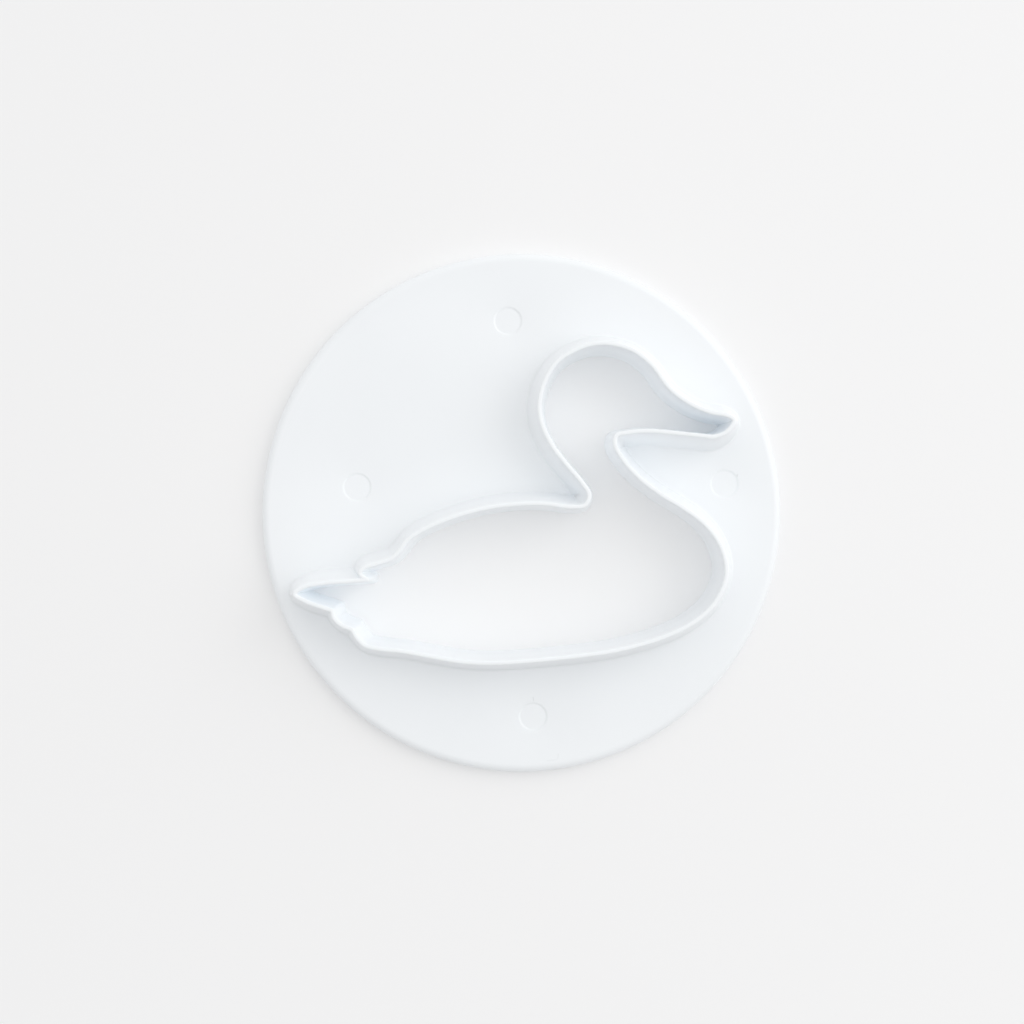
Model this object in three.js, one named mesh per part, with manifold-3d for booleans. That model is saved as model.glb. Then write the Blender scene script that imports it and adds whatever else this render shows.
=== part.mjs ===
// A moulded cutter for rolled icing: a round press plate that carries a tapered, duck-shaped cutting wall.
// Millimetres. +Z is the cutting side, +X points the way the duck faces, and the origin is the middle of the
// plate's back.
import * as THREE from 'three';
import { mergeVertices } from 'three/addons/utils/BufferGeometryUtils.js';
import Module from 'manifold-3d';

// Driving dimensions
const figureLength = 86.2; // tail tip to bill tip, along the cutting rim
const rimWidth = 0.8; // flat land on top of the wall
const wallHeight = 9.5; // plate's top to cutting rim
const outerSpread = 2; // how far the outer face leans out, from the rim to the plate's top
const innerSpread = 0.9; // how far the inner face leans in, from the rim to the plate's back
const plateThickness = 3;
const plateMargin = 2.9; // plate left outside the figure's furthest foot
const plateEdgeRadius = 1.6; // rounding of the plate's top edge
const ejectorMarkDiameter = 6;
const ejectorMarkDepth = 0.2;

// White plastic with a satin gloss
const plasticColour = 0xf0f4f8;
const plasticRoughness = 0.38;

// How finely curves are cut into straight pieces
const stepsPerLength = 30; // on a straight stretch as long as the figure
const stepsPerTurn = 33; // on a stretch that bends right round
const tracingSteps = 2000; // fine steps that a stroke's own points are picked from
const wallLayers = 3;
const edgeSteps = 5;
const plateSides = 96;
const markSides = 32;
const longestLoopShare = 0.25; // the most of an outline that one notch can swallow

// The duck's outline along the middle of the rim, anticlockwise about the plate's centre. Each stroke is a
// smooth curve through its points, and the strokes meet in sharp notches between the feathers.
const bodyStroke = [
  // belly
  [-33.2, -22.9], [-32.3, -24.4], [-30.8, -25.9], [-28.1, -26.6], [-23.4, -27.1], [-17.9, -28.1],
  [-12.1, -29.1], [-6.2, -29.4], [1.6, -29], [11.5, -28], [19.3, -26.8], [27.1, -24.6],
  // breast
  [33, -21.9], [37.3, -18.4], [39.7, -14.2], [40.2, -11.2], [39.7, -8.2], [38.1, -4.8], [35.4, -1.7],
  // throat
  [31.2, 1.3], [27.1, 3.8], [23.2, 6.8], [19.8, 10.6], [18.3, 13.5], [18.6, 15.2],
  // bill
  [20.9, 15.8], [24.6, 16.1], [29.1, 15.8], [35, 15.2], [37.9, 15], [40.4, 16.1], [41.7, 18.2],
  [40.4, 19.1], [36.9, 19.8], [33, 21.5], [29.1, 24.4],
  // head
  [25.5, 29.1], [21.4, 32.1], [16, 33.3], [11.3, 32.3], [6.8, 29.4], [4, 24.1], [3.7, 18.8],
  // neck
  [5.8, 13.6], [8.7, 9.7], [11.6, 6.3], [13.3, 3.5], [12.4, 1.5], [9.5, 1.2],
  // back
  [4.6, 1.8], [-1.3, 1.7], [-7.2, 0.9], [-13, -0.7], [-18.3, -2.8], [-22.1, -5.1], [-24, -7.5],
  // wing tip
  [-25.6, -9], [-28.5, -10], [-31, -10.9], [-31.7, -11.9], [-30.3, -13.1],
];
const tailStroke = [
  [-30.3, -13.1], [-33.6, -13.4], [-38.3, -13.7], [-42.6, -14.5],
  [-44.5, -15.9], [-42.4, -17.3], [-37.2, -19.1],
];
const rumpStroke = [
  [-37.2, -19.1], [-36.7, -20.7], [-35.6, -21.8], [-33.2, -22.9],
];
const ejectorMarkPlaces = [[-2.7, 38.8], [-33.2, 5.2], [2.4, -41.2], [41.1, 5.9]];

// Heights and the drawing's scale
const backZ = 0;
const plateTopZ = backZ + plateThickness;
const rimZ = plateTopZ + wallHeight;
const strokes = [bodyStroke, tailStroke, rumpStroke];
const drawnX = strokes.flat().map(([x]) => x);
const drawingScale = figureLength / (Math.max(...drawnX) - Math.min(...drawnX));
const quarterTurn = Math.PI / 2;
const fullTurn = Math.PI * 2;

const wasm = await Module();
wasm.setup();

// Points along one stroke, closer together where it bends. The last point is left to the next stroke.
function tracedStroke(points) {
  const corners = points.map(([x, y]) => new THREE.Vector3(x, y, 0).multiplyScalar(drawingScale));
  const curve = new THREE.CatmullRomCurve3(corners, false, 'centripetal');
  const fine = curve.getSpacedPoints(tracingSteps);
  const traced = [fine[0]];
  let progress = 0;
  for (let i = 1; i < tracingSteps; i++) {
    const before = fine[i].clone().sub(fine[i - 1]);
    const after = fine[i + 1].clone().sub(fine[i]);
    progress += stepsPerLength * before.length() / figureLength;
    progress += stepsPerTurn * before.angleTo(after) / fullTurn;
    if (progress >= 1) {
      traced.push(fine[i]);
      progress = 0;
    }
  }
  return traced.map((point) => new THREE.Vector2(point.x, point.y));
}

// Where the segments ab and cd cross, or null
function crossing(a, b, c, d) {
  const ab = b.clone().sub(a);
  const cd = d.clone().sub(c);
  const ac = c.clone().sub(a);
  const turn = ab.cross(cd);
  const alongAb = ac.cross(cd) / turn;
  const alongCd = ac.cross(ab) / turn;
  const meets = alongAb >= 0 && alongAb <= 1 && alongCd >= 0 && alongCd <= 1;
  return meets ? a.clone().addScaledVector(ab, alongAb) : null;
}

// An anticlockwise outline moved outwards by a distance, or inwards by a negative one, point for point.
// Where the moved outline crosses itself, as in a narrow notch, the loop gathers in the crossing point.
function offsetOutline(outline, distance) {
  const count = outline.length;
  const longestLoop = Math.floor(count * longestLoopShare);
  const moved = outline.map((point, i) => {
    const arriving = point.clone().sub(outline.at(i - 1)).normalize();
    const leaving = outline[(i + 1) % count].clone().sub(point).normalize();
    const along = arriving.add(leaving).normalize();
    return new THREE.Vector2(along.y, -along.x).multiplyScalar(distance).add(point);
  });
  const at = (i) => moved[i % count];
  for (let start = 0; start < count; start++) {
    for (let span = longestLoop; span > 1; span--) {
      const meeting = crossing(at(start), at(start + 1), at(start + span), at(start + span + 1));
      if (meeting) {
        for (let swallowed = 1; swallowed <= span; swallowed++) {
          at(start + swallowed).copy(meeting);
        }
        break;
      }
    }
  }
  return moved;
}

// The outer face leans out from the rim to its foot on the plate
function outerOutline(rimLine, z) {
  const lean = outerSpread * (rimZ - z) / (rimZ - plateTopZ);
  return offsetOutline(rimLine, rimWidth / 2 + lean);
}

// The inner face leans in from the rim right through to the plate's back
function innerOutline(rimLine, z) {
  const lean = innerSpread * (rimZ - z) / (rimZ - backZ);
  return offsetOutline(rimLine, -rimWidth / 2 - lean);
}

// Heights down the wall, from the rim to the plate's top
function wallHeights() {
  return Array.from({ length: wallLayers + 1 }, (_, i) => rimZ - wallHeight * i / wallLayers);
}

// A closed solid through outlines stacked from the top down, all with the same number of points
function stackedGeometry(layers) {
  const rings = layers.map(({ outline, z }) => outline.map(({ x, y }) => new THREE.Vector3(x, y, z)));
  const count = rings[0].length;
  const positions = [];
  const addTriangle = (a, b, c) => {
    if (!a.equals(b) && !b.equals(c) && !c.equals(a)) {
      positions.push(...a, ...b, ...c);
    }
  };
  for (let level = 1; level < rings.length; level++) {
    const upper = rings[level - 1];
    const lower = rings[level];
    for (let i = 0; i < count; i++) {
      const next = (i + 1) % count;
      addTriangle(upper[i], lower[i], lower[next]);
      addTriangle(upper[i], lower[next], upper[next]);
    }
  }
  const capTriangles = (ring) => {
    const corners = ring.filter((point, i) => !point.equals(ring.at(i - 1)));
    return THREE.ShapeUtils.triangulateShape(corners, []).map((indices) => indices.map((i) => corners[i]));
  };
  for (const [a, b, c] of capTriangles(rings[0])) {
    addTriangle(a, b, c);
  }
  for (const [a, b, c] of capTriangles(rings.at(-1))) {
    addTriangle(a, c, b);
  }
  const geometry = new THREE.BufferGeometry();
  return geometry.setAttribute('position', new THREE.Float32BufferAttribute(positions, 3));
}

// A geometry as a solid that can be cut
function solidOf(geometry) {
  geometry.deleteAttribute('normal');
  geometry.deleteAttribute('uv');
  const merged = mergeVertices(geometry);
  const vertProperties = merged.attributes.position.array;
  const triVerts = Uint32Array.from(merged.index.array);
  return new wasm.Manifold(new wasm.Mesh({ numProp: 3, vertProperties, triVerts }));
}

// A cut solid as a named mesh of white plastic
function plasticMesh(name, solid) {
  const { vertProperties, triVerts } = solid.getMesh();
  const geometry = new THREE.BufferGeometry();
  geometry.setAttribute('position', new THREE.BufferAttribute(vertProperties, 3));
  geometry.setIndex(new THREE.BufferAttribute(triVerts, 1));
  geometry.computeVertexNormals();
  const material = new THREE.MeshStandardMaterial({ color: plasticColour, roughness: plasticRoughness });
  const mesh = new THREE.Mesh(geometry, material);
  mesh.name = name;
  return mesh;
}

// The duck-shaped opening through wall and plate alike, run on past both faces so that it cuts cleanly
function duckOpening(rimLine) {
  const faces = [...wallHeights(), backZ].map((z) => ({ outline: innerOutline(rimLine, z), z }));
  const above = { outline: faces[0].outline, z: rimZ + plateThickness };
  const below = { outline: faces.at(-1).outline, z: backZ - plateThickness };
  return solidOf(stackedGeometry([above, ...faces, below]));
}

// The tapered wall, which ends in the narrow cutting rim
function cutterWall(rimLine) {
  const layers = wallHeights().map((z) => ({ outline: outerOutline(rimLine, z), z }));
  const block = solidOf(stackedGeometry(layers));
  return plasticMesh('cutter_wall', block.subtract(duckOpening(rimLine)));
}

// A disc with its top edge rounded, just large enough to carry the wall's foot
function plateBlank(rimLine) {
  const footReach = Math.max(...outerOutline(rimLine, plateTopZ).map((point) => point.length()));
  const plateRadius = footReach + plateMargin;
  const edgeRadius = Math.min(plateEdgeRadius, plateThickness, plateMargin);
  const profile = [new THREE.Vector2(0, backZ), new THREE.Vector2(plateRadius, backZ)];
  for (let step = 0; step <= edgeSteps; step++) {
    const turn = quarterTurn * step / edgeSteps;
    const inwards = edgeRadius * (1 - Math.cos(turn));
    const downwards = edgeRadius * (1 - Math.sin(turn));
    profile.push(new THREE.Vector2(plateRadius - inwards, plateTopZ - downwards));
  }
  profile.push(new THREE.Vector2(0, plateTopZ));
  return solidOf(new THREE.LatheGeometry(profile, plateSides).rotateX(quarterTurn));
}

// One of the shallow round marks that ejector pins leave in the plate's top
function ejectorMark([x, y]) {
  const radius = ejectorMarkDiameter / 2;
  const pin = new THREE.CylinderGeometry(radius, radius, 2 * ejectorMarkDepth, markSides);
  pin.rotateX(quarterTurn);
  pin.translate(x * drawingScale, y * drawingScale, plateTopZ);
  return solidOf(pin);
}

// The flange that the hand presses on, open where the duck is open
function pressPlate(rimLine) {
  let plate = plateBlank(rimLine).subtract(duckOpening(rimLine));
  for (const place of ejectorMarkPlaces) {
    plate = plate.subtract(ejectorMark(place));
  }
  return plasticMesh('press_plate', plate);
}

const rimLine = strokes.flatMap(tracedStroke);
const cutter = new THREE.Group();
cutter.name = 'duck_cutter';
cutter.add(pressPlate(rimLine), cutterWall(rimLine));

export default cutter;
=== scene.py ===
"""Looks of a moulded duck cutter for rolled icing, in metres: cutting wall, press plate and a plain stage."""

import math

import bmesh
import bpy
import numpy as np
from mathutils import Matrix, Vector
from mathutils.geometry import delaunay_2d_cdt


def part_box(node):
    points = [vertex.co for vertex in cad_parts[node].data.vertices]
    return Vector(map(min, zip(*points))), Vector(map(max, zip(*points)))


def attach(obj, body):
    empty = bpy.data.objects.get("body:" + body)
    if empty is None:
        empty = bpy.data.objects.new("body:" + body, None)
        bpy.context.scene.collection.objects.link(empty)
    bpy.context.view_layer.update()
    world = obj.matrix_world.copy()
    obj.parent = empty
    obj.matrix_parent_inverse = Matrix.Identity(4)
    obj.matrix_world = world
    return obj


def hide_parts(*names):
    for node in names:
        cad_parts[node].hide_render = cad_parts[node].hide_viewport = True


bl_info = {
    "name": "Duck Icing Cutter",
    "version": (1, 0, 0),
    "blender": (4, 5, 0),
    "location": "3D View > Sidebar > Cutter",
    "description": "Makes a moulded duck cutter for rolled icing, on a plain stage",
    "category": "Add Mesh",
}

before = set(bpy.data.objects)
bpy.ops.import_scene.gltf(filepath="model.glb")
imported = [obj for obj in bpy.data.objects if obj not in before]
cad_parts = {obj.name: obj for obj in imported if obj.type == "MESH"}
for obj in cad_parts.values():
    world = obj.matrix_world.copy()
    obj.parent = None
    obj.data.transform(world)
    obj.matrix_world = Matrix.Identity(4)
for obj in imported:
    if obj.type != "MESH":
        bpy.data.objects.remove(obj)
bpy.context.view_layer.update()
plate_low, plate_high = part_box("press_plate")
wall_low, wall_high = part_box("cutter_wall")

MM = 0.001
BODY = "root"

# The duck's outline along the middle of the rim, in millimetres, anticlockwise seen from above. Each stroke
# is a smooth curve through its points, and the strokes meet in sharp notches between the feathers.
BODY_STROKE = (
    # belly
    (-33.2, -22.9), (-32.3, -24.4), (-30.8, -25.9), (-28.1, -26.6), (-23.4, -27.1), (-17.9, -28.1),
    (-12.1, -29.1), (-6.2, -29.4), (1.6, -29), (11.5, -28), (19.3, -26.8), (27.1, -24.6),
    # breast
    (33, -21.9), (37.3, -18.4), (39.7, -14.2), (40.2, -11.2), (39.7, -8.2), (38.1, -4.8), (35.4, -1.7),
    # throat
    (31.2, 1.3), (27.1, 3.8), (23.2, 6.8), (19.8, 10.6), (18.3, 13.5), (18.6, 15.2),
    # bill
    (20.9, 15.8), (24.6, 16.1), (29.1, 15.8), (35, 15.2), (37.9, 15), (40.4, 16.1), (41.7, 18.2),
    (40.4, 19.1), (36.9, 19.8), (33, 21.5), (29.1, 24.4),
    # head
    (25.5, 29.1), (21.4, 32.1), (16, 33.3), (11.3, 32.3), (6.8, 29.4), (4, 24.1), (3.7, 18.8),
    # neck
    (5.8, 13.6), (8.7, 9.7), (11.6, 6.3), (13.3, 3.5), (12.4, 1.5), (9.5, 1.2),
    # back
    (4.6, 1.8), (-1.3, 1.7), (-7.2, 0.9), (-13, -0.7), (-18.3, -2.8), (-22.1, -5.1), (-24, -7.5),
    # wing tip
    (-25.6, -9), (-28.5, -10), (-31, -10.9), (-31.7, -11.9), (-30.3, -13.1),
)
TAIL_STROKE = (
    (-30.3, -13.1), (-33.6, -13.4), (-38.3, -13.7), (-42.6, -14.5),
    (-44.5, -15.9), (-42.4, -17.3), (-37.2, -19.1),
)
RUMP_STROKE = (
    (-37.2, -19.1), (-36.7, -20.7), (-35.6, -21.8), (-33.2, -22.9),
)
STROKES = (BODY_STROKE, TAIL_STROKE, RUMP_STROKE)
# Scuffs on the plate's top: both ends and the width in millimetres, and the share of light they swallow
SCUFFS = (
    ((2.4, -37.3), (2.5, -38), 0.35, 0.12),
    ((43.7, 7.7), (43.7, 7.5), 0.6, 0.13),
    ((5.3, -50.1), (7.2, -49.9), 0.5, 0.04),
    ((7.4, -49.6), (7.5, -48.8), 0.5, 0.05),
)
# Middles of the ejector-pin marks on the plate's top, in millimetres
MARK_PLACES = ((-2.7, 38.8), (-33.2, 5.2), (2.4, -41.2), (41.1, 5.9))

# How finely the surfaces are cut
SPAN_STEPS = 24  # fine steps between two points of a stroke
OUTLINE_STEP = 0.3 * MM
NOTCH_STEPS = 8  # directions in the fan where two strokes meet
LONGEST_LOOP = 0.25  # the most of an outline that one notch can swallow
FREE_SIDE = 2  # a side of an outline can't cross itself or the next one, but the second can
ROUNDING_STEPS = 7
FLAT_MARGIN = 0.06 * MM  # strip beside a rounding that keeps the flat next to it flat
PLATE_SIDES = 288
MARK_SIDES = 64
MARK_RINGS = 16
RING_CROWDING = 0.4  # below 1, a mark's rings crowd towards its lip
WELD = 0.0005 * MM
CREASE_ANGLE = math.radians(32)
CDT_INSIDE = 1  # keeps the triangles inside the outermost ring
CDT_NEARNESS = 1e-9

WHITE = (1, 1, 1, 1)
MOTTLE_DETAIL = 3  # finer waves in the mottle
GRAIN_DETAIL = 2  # finer waves in the grain


class CutterShape(bpy.types.PropertyGroup):
    """Sizes of the moulding."""

    plate_radius: bpy.props.FloatProperty(
        name="Plate Radius", description="Half the width of the round plate",
        default=(plate_high.x - plate_low.x) / 2, unit="LENGTH", precision=5)
    plate_thickness: bpy.props.FloatProperty(
        name="Plate Thickness", description="From the plate's back to its top",
        default=plate_high.z, unit="LENGTH", precision=5)
    plate_rounding: bpy.props.FloatProperty(
        name="Plate Rounding", description="Radius of the plate's top edge",
        default=1.6 * MM, unit="LENGTH", precision=5)
    back_rounding: bpy.props.FloatProperty(
        name="Back Rounding", description="Radius of the edges of the plate's back",
        default=0.12 * MM, unit="LENGTH", precision=5)
    wall_height: bpy.props.FloatProperty(
        name="Wall Height", description="From the plate's top to the cutting rim",
        default=wall_high.z - wall_low.z, unit="LENGTH", precision=5)
    rim_width: bpy.props.FloatProperty(
        name="Rim Width", description="Width of the cutting rim between its two faces",
        default=0.8 * MM, unit="LENGTH", precision=5)
    rim_rounding: bpy.props.FloatProperty(
        name="Rim Rounding", description="Radius of the rim's two edges",
        default=0.32 * MM, unit="LENGTH", precision=5)
    outer_spread: bpy.props.FloatProperty(
        name="Outer Spread", description="How far the outer face leans out from the rim to the plate",
        default=2 * MM, unit="LENGTH", precision=5)
    inner_spread: bpy.props.FloatProperty(
        name="Inner Spread", description="How far the inner face leans in from the rim to the plate's back",
        default=0.9 * MM, unit="LENGTH", precision=5)
    foot_fillet: bpy.props.FloatProperty(
        name="Foot Fillet", description="Radius where the outer face meets the plate",
        default=0.55 * MM, unit="LENGTH", precision=5)
    mark_diameter: bpy.props.FloatProperty(
        name="Mark Diameter", description="Width of the round marks that the ejector pins leave",
        default=6 * MM, unit="LENGTH", precision=5)
    mark_depth: bpy.props.FloatProperty(
        name="Mark Depth", description="Depth of the ejector-pin marks",
        default=0.2 * MM, unit="LENGTH", precision=5)
    mark_lip: bpy.props.FloatProperty(
        name="Mark Lip", description="Width of the slope round an ejector-pin mark",
        default=0.5 * MM, unit="LENGTH", precision=5)


class CutterFinish(bpy.types.PropertyGroup):
    """Finish of the white plastic."""

    colour: bpy.props.FloatVectorProperty(
        name="Colour", description="Colour of the plastic",
        default=(0.928, 0.952, 0.972), subtype="COLOR", size=3, min=0, max=1)
    roughness: bpy.props.FloatProperty(
        name="Roughness", description="Roughness of the satin surface", default=0.38, min=0, max=1)
    roughness_spread: bpy.props.FloatProperty(
        name="Roughness Spread", description="Share by which the roughness wanders",
        default=0.1, min=0, max=1)
    refraction: bpy.props.FloatProperty(
        name="Refraction", description="Refractive index of the plastic, which sets its gloss",
        default=1.49, min=1)
    # Painted light: the wall's colour is made brighter above its foot, standing in for light that passes
    # through the thin wall
    painted_thin_wall_light: bpy.props.FloatProperty(
        name="Painted Thin Wall Light", description="How much brighter the wall grows above its foot, where it is thin",
        default=0.022, min=0, max=1)
    mottle: bpy.props.FloatProperty(
        name="Mottle", description="How much the colour wanders from place to place",
        default=0.012, min=0, max=1)
    mottle_size: bpy.props.FloatProperty(
        name="Mottle Size", description="Width of the patches of colour",
        default=18 * MM, unit="LENGTH", precision=5)
    grain_size: bpy.props.FloatProperty(
        name="Grain Size", description="Width of the fine grain left by the mould",
        default=0.35 * MM, unit="LENGTH", precision=5)
    grain_depth: bpy.props.FloatProperty(
        name="Grain Depth", description="Depth of the fine grain left by the mould",
        default=0.002 * MM, unit="LENGTH", precision=6)


class CutterStage(bpy.types.PropertyGroup):
    """Floor, light and camera."""

    floor_colour: bpy.props.FloatVectorProperty(
        name="Floor Colour", description="Colour of the floor",
        default=(0.946, 0.946, 0.948), subtype="COLOR", size=3, min=0, max=1)
    floor_roughness: bpy.props.FloatProperty(
        name="Floor Roughness", description="Roughness of the floor", default=0.9, min=0, max=1)
    floor_gloss: bpy.props.FloatProperty(
        name="Floor Gloss", description="Strength of the floor's gloss", default=0.1, min=0, max=1)
    floor_radius: bpy.props.FloatProperty(
        name="Floor Radius", description="Half the width of the floor", default=4, unit="LENGTH")
    sky_strength: bpy.props.FloatProperty(
        name="Sky Strength", description="Light from all round, at its middle", default=0.597, min=0)
    sky_tilt: bpy.props.FloatVectorProperty(
        name="Sky Tilt", description="How much stronger the light grows along each axis",
        default=(0, 0.23, 0.345), subtype="XYZ", size=3)
    backdrop_strength: bpy.props.FloatProperty(
        name="Backdrop Strength", description="Brightness of the backdrop, as camera and gloss see it",
        default=0.87, min=0)
    window_power: bpy.props.FloatProperty(
        name="Window Power", description="Power of the window at the right", default=4.8, min=0, unit="POWER")
    window_place: bpy.props.FloatVectorProperty(
        name="Window Place", description="Middle of the window",
        default=(1.05, 0.34, 0.69), subtype="XYZ", size=3)
    window_width: bpy.props.FloatProperty(
        name="Window Width", description="Width of the window", default=1.3, unit="LENGTH")
    window_height: bpy.props.FloatProperty(
        name="Window Height", description="Height of the window", default=1.2, unit="LENGTH")
    diffuse_bounces: bpy.props.IntProperty(
        name="Diffuse Bounces", description="How often light passes between the white faces",
        default=16, min=0)
    bounces: bpy.props.IntProperty(
        name="Bounces", description="How often light is followed in all", default=24, min=0)
    camera_place: bpy.props.FloatVectorProperty(
        name="Camera Place", description="Where the camera looks straight down from",
        default=(-1.87 * MM, 0.18 * MM, 310 * MM), subtype="XYZ", size=3, precision=5)
    camera_lens: bpy.props.FloatProperty(
        name="Camera Lens", description="Focal length in millimetres", default=53.38, min=1)


# Outlines and sections

def traced_stroke(corners):
    """Evenly spaced points along a smooth curve through the corners, and the headings there."""
    corners = np.array(corners) * MM
    ends = np.vstack([2 * corners[0] - corners[1], corners, 2 * corners[-1] - corners[-2]])
    share = np.linspace(0, 1, SPAN_STEPS, endpoint=False)[:, None]
    spans = []
    for before, start, end, after in zip(ends, ends[1:], ends[2:], ends[3:]):
        neighbours = ((before, start), (start, end), (end, after))
        first, middle, last = (math.sqrt(math.dist(a, b)) for a, b in neighbours)
        chord = end - start
        leaving = chord + middle * ((start - before) / first - (end - before) / (first + middle))
        arriving = chord + middle * ((after - end) / last - (after - start) / (middle + last))
        bend = leaving + arriving - 2 * chord
        sag = chord - leaving - bend
        spans.append(start + share * (leaving + share * (sag + share * bend)))
    fine = np.vstack([*spans, corners[-1:]])
    lengths = np.append(0, np.cumsum(np.linalg.norm(np.diff(fine, axis=0), axis=1)))
    stations = np.linspace(0, lengths[-1], math.ceil(lengths[-1] / OUTLINE_STEP) + 1)
    points = np.column_stack([np.interp(stations, lengths, fine[:, axis]) for axis in (0, 1)])
    headings = np.gradient(points, axis=0)
    return points, np.arctan2(headings[:, 1], headings[:, 0])


def rim_line():
    """Points along the middle of the rim, with their outward directions and a fan of these in each notch."""
    points = []
    headings = []
    traced = [traced_stroke(stroke) for stroke in STROKES]
    for (path, heading), (_, following) in zip(traced, traced[1:] + traced[:1]):
        turn = (following[0] - heading[-1] + math.pi) % math.tau - math.pi
        fan = heading[-1] + turn * np.linspace(0, 1, NOTCH_STEPS + 1)[1:-1]
        points += [path, np.repeat(path[-1:], len(fan), axis=0)]
        headings += [heading, fan]
    headings = np.concatenate(headings)
    return np.vstack(points), np.column_stack([np.sin(headings), -np.cos(headings)])


def cross(a, b):
    """How far b turns left of a, for rows of flat vectors."""
    return a[..., 0] * b[..., 1] - a[..., 1] * b[..., 0]


def gathered(outline):
    """An outline whose loops, as in a narrow notch, are gathered in the point where it crosses itself."""
    count = len(outline)
    step = np.roll(outline, -1, axis=0) - outline
    far = (np.arange(count)[:, None] + np.arange(FREE_SIDE, int(count * LONGEST_LOOP))) % count
    gap = outline[far] - outline[:, None]
    with np.errstate(divide="ignore", invalid="ignore"):
        turn = cross(step[:, None], step[far])
        here = cross(gap, step[far]) / turn
        there = cross(gap, step[:, None]) / turn
    meets = (here >= 0) & (here <= 1) & (there >= 0) & (there <= 1)
    result = outline.copy()
    start = 0
    while start < count:
        spans = np.flatnonzero(meets[start])
        if len(spans):
            loop = spans[-1]
            swallowed = (np.arange(start, start + loop + FREE_SIDE) + 1) % count
            result[swallowed] = outline[start] + here[start, loop] * step[start]
            start += loop + FREE_SIDE
        start += 1
    return result


def duck_rings(section):
    """The duck's outline at each (offset, height) of a section, as rings of points."""
    points, outwards = rim_line()
    rings = []
    for offset, height in section:
        outline = gathered(points + offset * outwards)
        rings.append(np.column_stack([outline, np.full(len(outline), height)]))
    return rings


def round_rings(section, sides, centre=(0, 0)):
    """A circle at each (radius, height) of a section, as rings of points."""
    turns = math.pi - math.tau * np.arange(sides) / sides
    circle = np.column_stack([np.cos(turns), np.sin(turns)])
    return [np.column_stack([circle * radius + centre, np.full(sides, height)]) for radius, height in section]


def rounded(corners, radii):
    """A section through the corners, with each inner corner rounded to its radius."""
    corners = [Vector(corner) for corner in corners]
    section = [corners[0]]
    for before, corner, after, radius in zip(corners, corners[1:], corners[2:], radii):
        inwards = (before - corner).normalized()
        onwards = (after - corner).normalized()
        half = inwards.angle(onwards) / 2
        reach = radius / math.tan(half)
        centre = corner + (inwards + onwards).normalized() * (radius / math.sin(half))
        start = corner + inwards * reach
        end = corner + onwards * reach
        section.append(start + inwards * FLAT_MARGIN)
        first_spoke = (start - centre).normalized()
        last_spoke = (end - centre).normalized()
        for step in range(ROUNDING_STEPS + 1):
            section.append(centre + radius * first_spoke.slerp(last_spoke, step / ROUNDING_STEPS))
        section.append(end + onwards * FLAT_MARGIN)
    return section


# Meshes

def strips(rings, closed=False):
    """Corners and faces of the strips between rings with equal numbers of points."""
    count = len(rings[0])
    index = np.arange(len(rings) * count).reshape(len(rings), count)
    following = np.roll(index, -1, axis=0)
    pairs = zip(index, following) if closed else zip(index[:-1], following[:-1])
    faces = []
    for upper, lower in pairs:
        faces += np.column_stack([upper, lower, np.roll(lower, -1), np.roll(upper, -1)]).tolist()
    return np.vstack(rings), faces


def inside(points, ring):
    """Whether each flat point lies inside a ring, by counting the sides it would cross on its way out."""
    x, y = points[:, 0, None], points[:, 1, None]
    start = ring[:, :2]
    end = np.roll(start, -1, axis=0)
    passed = (start[:, 1] > y) != (end[:, 1] > y)
    rise = np.where(passed, end[:, 1] - start[:, 1], 1)
    crossing = start[:, 0] + (y - start[:, 1]) * (end[:, 0] - start[:, 0]) / rise
    return np.count_nonzero(passed & (crossing > x), axis=1) % 2 == 1


def filled(rings):
    """Corners and faces of a flat area inside the first ring and outside the others."""
    rings = [ring[np.any(ring != np.roll(ring, 1, axis=0), axis=1)] for ring in rings]
    corners = np.vstack(rings)
    sides = []
    for ring in rings:
        index = np.arange(len(sides), len(sides) + len(ring))
        sides += np.column_stack([index, np.roll(index, -1)]).tolist()
    flat = [Vector(corner[:2]) for corner in corners]
    triangles = np.array(delaunay_2d_cdt(flat, sides, [], CDT_INSIDE, CDT_NEARNESS)[2])
    middles = corners[triangles].mean(axis=1)
    wanted = ~np.any([inside(middles, hole) for hole in rings[1:]], axis=0)
    return corners, triangles[wanted].tolist()


def welded_mesh(name, patches, marks=None):
    """One closed mesh from patches of (corners, faces), with coinciding corners joined."""
    shell = bmesh.new()
    for corners, faces in patches:
        made = [shell.verts.new(corner) for corner in corners]
        for face in faces:
            shell.faces.new([made[i] for i in face])
    if marks:
        shell.from_mesh(marks)
    bmesh.ops.remove_doubles(shell, verts=shell.verts, dist=WELD)
    bmesh.ops.dissolve_degenerate(shell, edges=shell.edges, dist=WELD)
    bmesh.ops.recalc_face_normals(shell, faces=shell.faces)
    if shell.calc_volume(signed=True) < 0:
        bmesh.ops.reverse_faces(shell, faces=shell.faces)
    open_edges = sum(not edge.is_manifold for edge in shell.edges)
    if open_edges:
        raise RuntimeError(f"{name} isn't closed: {open_edges} of its edges don't join two faces")
    mesh = bpy.data.meshes.new(name)
    shell.to_mesh(mesh)
    shell.free()
    mesh.shade_smooth()
    mesh.set_sharp_from_angle(angle=CREASE_ANGLE)
    return mesh


def add_object(name, data):
    """A new object in the scene."""
    made = bpy.data.objects.new(name, data)
    bpy.context.scene.collection.objects.link(made)
    return made


def add_piece(name, mesh, material, node):
    """A finished piece with its material, set on the body in place of a node, which is hidden."""
    mesh.materials.append(material)
    piece = add_object(name, mesh)
    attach(piece, BODY)
    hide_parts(node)


# Materials

def add_node(tree, kind, inputs, **settings):
    """A node with its settings, and with each input set to a value or joined to a socket."""
    made = tree.nodes.new(kind)
    for name, value in settings.items():
        setattr(made, name, value)
    for name, value in inputs.items():
        if isinstance(value, bpy.types.NodeSocket):
            tree.links.new(value, made.inputs[name])
        else:
            made.inputs[name].default_value = value
    return made


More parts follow.
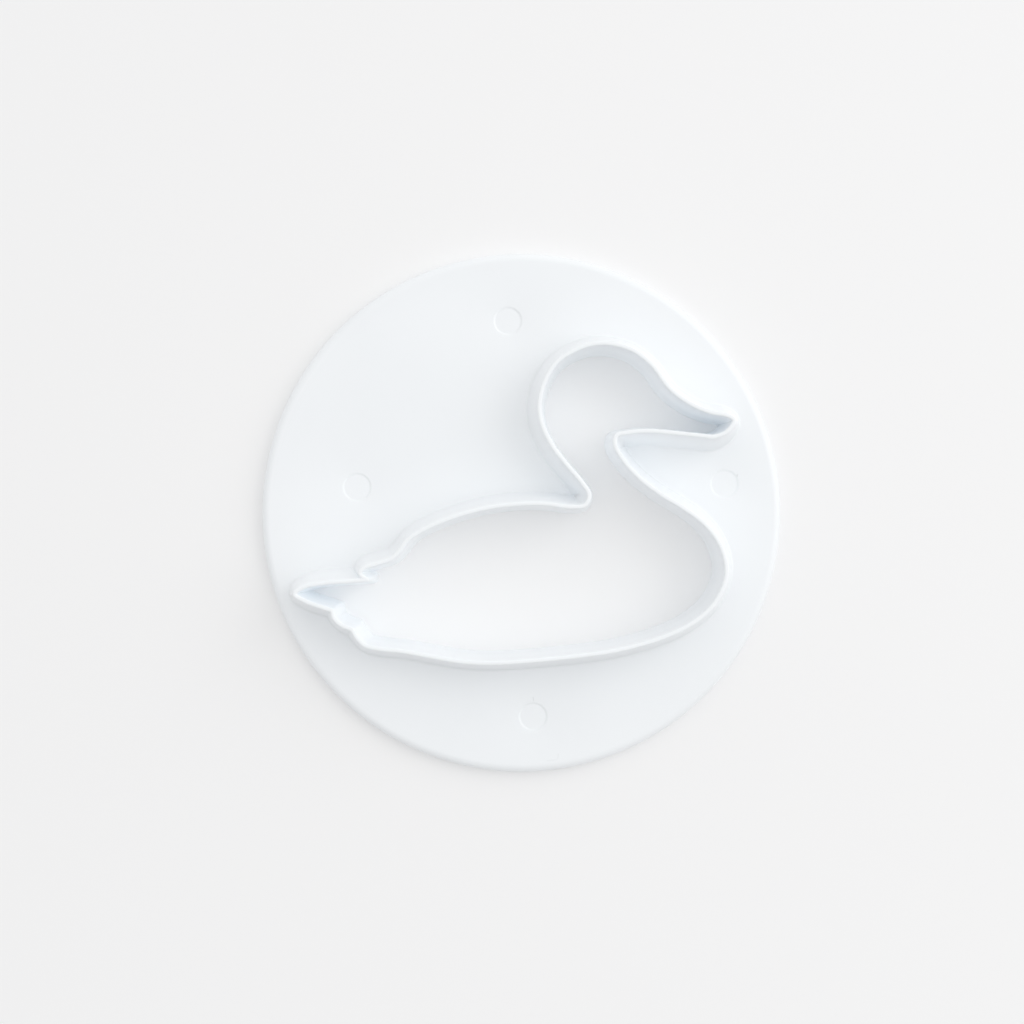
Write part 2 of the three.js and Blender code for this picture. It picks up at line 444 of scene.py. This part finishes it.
def maths(tree, operation, first, second=0.0):
    """The result of an operation on two numbers."""
    return add_node(tree, "ShaderNodeMath", {0: first, 1: second}, operation=operation).outputs["Value"]


def vector_maths(tree, operation, first, second, result="Vector"):
    """The result of an operation on two vectors."""
    return add_node(tree, "ShaderNodeVectorMath", {0: first, 1: second}, operation=operation).outputs[result]


def eased(tree, limits):
    """A value that goes smoothly between two results while another one goes between two limits."""
    return add_node(tree, "ShaderNodeMapRange", limits, interpolation_type="SMOOTHSTEP").outputs["Result"]


def scuffed(tree, place, brightness, scuff):
    """A brightness that falls along a scuff, a soft line between two ends."""
    start, end, width, swallowed = scuff
    along = (Vector(end) - Vector(start)).to_3d() * MM
    origin = (*[axis * MM for axis in start], plate_high.z)
    offset = vector_maths(tree, "SUBTRACT", place, origin)
    reach = vector_maths(tree, "DOT_PRODUCT", offset, along, "Value")
    share = add_node(tree, "ShaderNodeMapRange", {"Value": reach, "From Max": along.length_squared})
    nearest = add_node(
        tree, "ShaderNodeVectorMath", {0: along, "Scale": share.outputs["Result"]}, operation="SCALE")
    gap = vector_maths(tree, "DISTANCE", offset, nearest.outputs["Vector"], "Value")
    shade = eased(tree, {"Value": gap, "From Max": width / 2 * MM, "To Min": 1 - swallowed, "To Max": 1})
    return maths(tree, "MULTIPLY", brightness, shade)


def moulded_plastic(name, finish, scuffs=()):
    """White plastic with a satin gloss, a faint mottle, the fine grain of the mould, a few scuffs and painted
    light that brightens the wall above its foot.
    """
    material = bpy.data.materials.new(name)
    material.use_nodes = True
    tree = material.node_tree
    shader = tree.nodes["Principled BSDF"]
    shader.inputs["IOR"].default_value = finish.refraction
    place = add_node(tree, "ShaderNodeTexCoord", {}).outputs["Object"]
    patches = add_node(tree, "ShaderNodeTexNoise", {
        "Vector": place, "Scale": 1 / finish.mottle_size, "Detail": MOTTLE_DETAIL})
    grain = add_node(tree, "ShaderNodeTexNoise", {
        "Vector": place, "Scale": 1 / finish.grain_size, "Detail": GRAIN_DETAIL})
    mottle = add_node(tree, "ShaderNodeMapRange", {
        "Value": patches.outputs["Fac"], "To Min": 1 - finish.mottle, "To Max": 1 + finish.mottle})
    height = add_node(tree, "ShaderNodeSeparateXYZ", {"Vector": place}).outputs["Z"]
    # Painted light: the colour brightens from the wall's foot up to half its height, in place of light
    # passing through the thin wall
    painted_thin_wall_light = eased(tree, {
        "Value": height, "From Min": wall_low.z, "From Max": (wall_low.z + wall_high.z) / 2,
        "To Max": finish.painted_thin_wall_light})
    brightness = maths(tree, "ADD", mottle.outputs["Result"], painted_thin_wall_light)
    for scuff in scuffs:
        brightness = scuffed(tree, place, brightness, scuff)
    colour = add_node(tree, "ShaderNodeHueSaturation", {"Color": (*finish.colour, 1), "Value": brightness})
    roughness = add_node(tree, "ShaderNodeMapRange", {
        "Value": grain.outputs["Fac"], "To Min": finish.roughness * (1 - finish.roughness_spread),
        "To Max": finish.roughness * (1 + finish.roughness_spread)})
    bump = add_node(tree, "ShaderNodeBump", {
        "Height": grain.outputs["Fac"], "Distance": finish.grain_depth})
    tree.links.new(colour.outputs["Color"], shader.inputs["Base Color"])
    tree.links.new(roughness.outputs["Result"], shader.inputs["Roughness"])
    tree.links.new(bump.outputs["Normal"], shader.inputs["Normal"])
    return material


# Ejector-pin marks

def mark_tree():
    """Geometry nodes that set a shallow round dish at each place, and their inputs by name."""
    tree = bpy.data.node_groups.new("Ejector Pin Marks", "GeometryNodeTree")
    sockets = {}
    for name, kind in (
        ("Places", "Geometry"), ("Diameter", "Float"), ("Depth", "Float"), ("Lip", "Float"),
        ("Sides", "Int"), ("Rings", "Int"), ("Plastic", "Material"),
    ):
        sockets[name] = tree.interface.new_socket(name=name, in_out="INPUT", socket_type=f"NodeSocket{kind}")
    tree.interface.new_socket(name="Marks", in_out="OUTPUT", socket_type="NodeSocketGeometry")
    given = add_node(tree, "NodeGroupInput", {}).outputs

    # A flat grid, 1 wide and 1 high about its middle, is bent round: its width becomes a full turn, and its
    # height runs from the middle of the dish to the lip
    grid = add_node(tree, "GeometryNodeMeshGrid", {
        "Size X": 1.0, "Size Y": 1.0, "Vertices X": maths(tree, "ADD", given["Sides"], 1.0),
        "Vertices Y": given["Rings"]})
    place = add_node(tree, "GeometryNodeInputPosition", {})
    flat = add_node(tree, "ShaderNodeSeparateXYZ", {"Vector": place.outputs["Position"]})
    turn = maths(tree, "MULTIPLY", flat.outputs["X"], -math.tau)
    share = maths(tree, "POWER", maths(tree, "ADD", flat.outputs["Y"], 0.5), RING_CROWDING)
    lip_radius = maths(tree, "MULTIPLY", given["Diameter"], 0.5)
    radius = maths(tree, "MULTIPLY", share, lip_radius)
    floor_radius = maths(tree, "SUBTRACT", lip_radius, given["Lip"])
    height = eased(tree, {
        "Value": radius, "From Min": floor_radius, "From Max": lip_radius,
        "To Min": maths(tree, "MULTIPLY", given["Depth"], -1.0), "To Max": 0.0})
    bent = add_node(tree, "ShaderNodeCombineXYZ", {
        "X": maths(tree, "MULTIPLY", radius, maths(tree, "COSINE", turn)),
        "Y": maths(tree, "MULTIPLY", radius, maths(tree, "SINE", turn)),
        "Z": height})
    dish = add_node(tree, "GeometryNodeSetPosition", {
        "Geometry": grid.outputs["Mesh"], "Position": bent.outputs["Vector"]})
    closed = add_node(tree, "GeometryNodeMergeByDistance", {
        "Geometry": dish.outputs["Geometry"], "Distance": WELD})
    placed = add_node(tree, "GeometryNodeInstanceOnPoints", {
        "Points": given["Places"], "Instance": closed.outputs["Geometry"]})
    plain = add_node(tree, "GeometryNodeRealizeInstances", {"Geometry": placed.outputs["Instances"]})
    finished = add_node(tree, "GeometryNodeSetMaterial", {
        "Geometry": plain.outputs["Geometry"], "Material": given["Plastic"]})
    add_node(tree, "NodeGroupOutput", {"Marks": finished.outputs["Geometry"]})
    return tree, sockets


def mark_mesh(shape, plastic):
    """The dishes of all the ejector-pin marks, as one plain mesh."""
    places = bpy.data.meshes.new("mark_places")
    places.from_pydata([(x * MM, y * MM, shape.plate_thickness) for x, y in MARK_PLACES], [], [])
    carrier = add_object("mark_places", places)
    tree, sockets = mark_tree()
    modifier = carrier.modifiers.new("Ejector Pin Marks", "NODES")
    modifier.node_group = tree
    for name, value in (
        ("Diameter", shape.mark_diameter), ("Depth", shape.mark_depth), ("Lip", shape.mark_lip),
        ("Sides", MARK_SIDES), ("Rings", MARK_RINGS), ("Plastic", plastic),
    ):
        modifier[sockets[name].identifier] = value
    evaluated = carrier.evaluated_get(bpy.context.evaluated_depsgraph_get())
    marks = bpy.data.meshes.new_from_object(evaluated)
    carrier.modifiers.remove(modifier)
    bpy.data.objects.remove(carrier)
    return marks


# Operators

def inner_offset(shape, height):
    """Where the inner face is at a height: it leans in from the rim right through to the plate's back."""
    top = shape.plate_thickness + shape.wall_height
    return -shape.rim_width / 2 - shape.inner_spread * (top - height) / top


class CUTTER_OT_make_wall(bpy.types.Operator):
    """Make the tapered duck-shaped wall that ends in the cutting rim"""

    bl_idname = "cutter.make_wall"
    bl_label = "Make Cutting Wall"

    def execute(self, context):
        shape = context.scene.cutter_shape
        foot = shape.plate_thickness
        rim = foot + shape.wall_height
        half_rim = shape.rim_width / 2
        outer_foot = half_rim + shape.outer_spread
        section = rounded(
            [(inner_offset(shape, foot), foot), (-half_rim, rim), (half_rim, rim), (outer_foot, foot),
             (outer_foot + shape.wall_height, foot)],
            [shape.rim_rounding, shape.rim_rounding, shape.foot_fillet])[:-1]
        mesh = welded_mesh("moulded_wall", [strips(duck_rings(section), closed=True)])
        plastic = moulded_plastic("Wall Plastic", context.scene.cutter_finish)
        add_piece("moulded_wall", mesh, plastic, "cutter_wall")
        return {"FINISHED"}


class CUTTER_OT_make_plate(bpy.types.Operator):
    """Make the round press plate with the duck's opening and the ejector-pin marks"""

    bl_idname = "cutter.make_plate"
    bl_label = "Make Press Plate"

    def execute(self, context):
        shape = context.scene.cutter_shape
        top = shape.plate_thickness
        radius = shape.plate_radius
        opening = duck_rings(rounded(
            [(inner_offset(shape, top), top), (inner_offset(shape, 0), 0), (inner_offset(shape, 0) + top, 0)],
            [shape.back_rounding]))
        edge = round_rings(rounded(
            [(radius - shape.plate_rounding - top, top), (radius, top), (radius, 0), (radius - top, 0)],
            [shape.plate_rounding, shape.back_rounding])[1:], PLATE_SIDES)
        lip = [(shape.mark_diameter / 2, top)]
        holes = [round_rings(lip, MARK_SIDES, (x * MM, y * MM))[0] for x, y in MARK_PLACES]
        plastic = moulded_plastic("Plate Plastic", context.scene.cutter_finish, SCUFFS)
        face = filled([edge[0], opening[0], *holes])
        back = filled([edge[-1], opening[-1]])
        marks = mark_mesh(shape, plastic)
        mesh = welded_mesh("moulded_plate", [strips(opening), strips(edge), face, back], marks)
        add_piece("moulded_plate", mesh, plastic, "press_plate")
        return {"FINISHED"}


class CUTTER_OT_make_stage(bpy.types.Operator):
    """Make the floor, the light and the camera"""

    bl_idname = "cutter.make_stage"
    bl_label = "Make Stage"

    def execute(self, context):
        scene = context.scene
        stage = scene.cutter_stage
        scene.view_settings.view_transform = "Standard"

        floor_mesh = bpy.data.meshes.new("floor")
        ring = round_rings([(stage.floor_radius, 0)], PLATE_SIDES)[0][::-1]
        floor_mesh.from_pydata(ring.tolist(), [], [range(PLATE_SIDES)])
        floor_material = bpy.data.materials.new("Floor")
        floor_material.use_nodes = True
        shader = floor_material.node_tree.nodes["Principled BSDF"]
        shader.inputs["Base Color"].default_value = (*stage.floor_colour, 1)
        shader.inputs["Roughness"].default_value = stage.floor_roughness
        shader.inputs["Specular IOR Level"].default_value = stage.floor_gloss
        floor_mesh.materials.append(floor_material)
        add_object("floor", floor_mesh)

        scene.world = bpy.data.worlds.new("Sky")
        scene.world.use_nodes = True
        tree = scene.world.node_tree
        way = add_node(tree, "ShaderNodeTexCoord", {}).outputs["Generated"]
        rise = vector_maths(tree, "DOT_PRODUCT", way, stage.sky_tilt, "Value")
        sky = tree.nodes["Background"]
        sky.inputs["Color"].default_value = WHITE
        tree.links.new(maths(tree, "ADD", rise, stage.sky_strength), sky.inputs["Strength"])
        backdrop = add_node(tree, "ShaderNodeBackground", {
            "Color": (*stage.floor_colour, 1), "Strength": stage.backdrop_strength})
        ray = add_node(tree, "ShaderNodeLightPath", {}).outputs
        seen = ray["Is Camera Ray"]
        for other in ("Is Glossy Ray", "Is Transmission Ray"):
            seen = maths(tree, "MAXIMUM", seen, ray[other])
        mix = add_node(tree, "ShaderNodeMixShader", {
            0: seen, 1: sky.outputs["Background"], 2: backdrop.outputs["Background"]})
        tree.links.new(mix.outputs["Shader"], tree.nodes["World Output"].inputs["Surface"])
        scene.cycles.diffuse_bounces = stage.diffuse_bounces
        scene.cycles.max_bounces = stage.bounces

        lamp = bpy.data.lights.new("window", "AREA")
        lamp.energy = stage.window_power
        lamp.shape = "RECTANGLE"
        lamp.size = stage.window_width
        lamp.size_y = stage.window_height
        window = add_object("window", lamp)
        window.location = stage.window_place
        window.rotation_euler = Vector(stage.window_place).to_track_quat("Z", "Y").to_euler()

        camera = add_object("camera", bpy.data.cameras.new("camera"))
        camera.location = stage.camera_place
        camera.data.lens = stage.camera_lens
        scene.camera = camera
        return {"FINISHED"}


class CUTTER_PT_panel(bpy.types.Panel):
    """Sizes, finish and stage of the cutter, with a button for each of its pieces"""

    bl_idname = "CUTTER_PT_panel"
    bl_label = "Duck Icing Cutter"
    bl_space_type = "VIEW_3D"
    bl_region_type = "UI"
    bl_category = "Cutter"

    def draw(self, context):
        scene = context.scene
        for settings in (scene.cutter_shape, scene.cutter_finish, scene.cutter_stage):
            box = self.layout.box()
            for name in settings.__annotations__:
                box.prop(settings, name)
        for operator in OPERATORS:
            self.layout.operator(operator.bl_idname)


SETTINGS = {"cutter_shape": CutterShape, "cutter_finish": CutterFinish, "cutter_stage": CutterStage}
OPERATORS = (CUTTER_OT_make_wall, CUTTER_OT_make_plate, CUTTER_OT_make_stage)
CLASSES = (*SETTINGS.values(), *OPERATORS, CUTTER_PT_panel)


def register():
    for made in CLASSES:
        bpy.utils.register_class(made)
    for name, settings in SETTINGS.items():
        setattr(bpy.types.Scene, name, bpy.props.PointerProperty(type=settings))


def unregister():
    for name in SETTINGS:
        delattr(bpy.types.Scene, name)
    for made in reversed(CLASSES):
        bpy.utils.unregister_class(made)


def main():
    register()
    bpy.ops.cutter.make_stage()
    bpy.ops.cutter.make_wall()
    bpy.ops.cutter.make_plate()


if __name__ == "__main__":
    main()
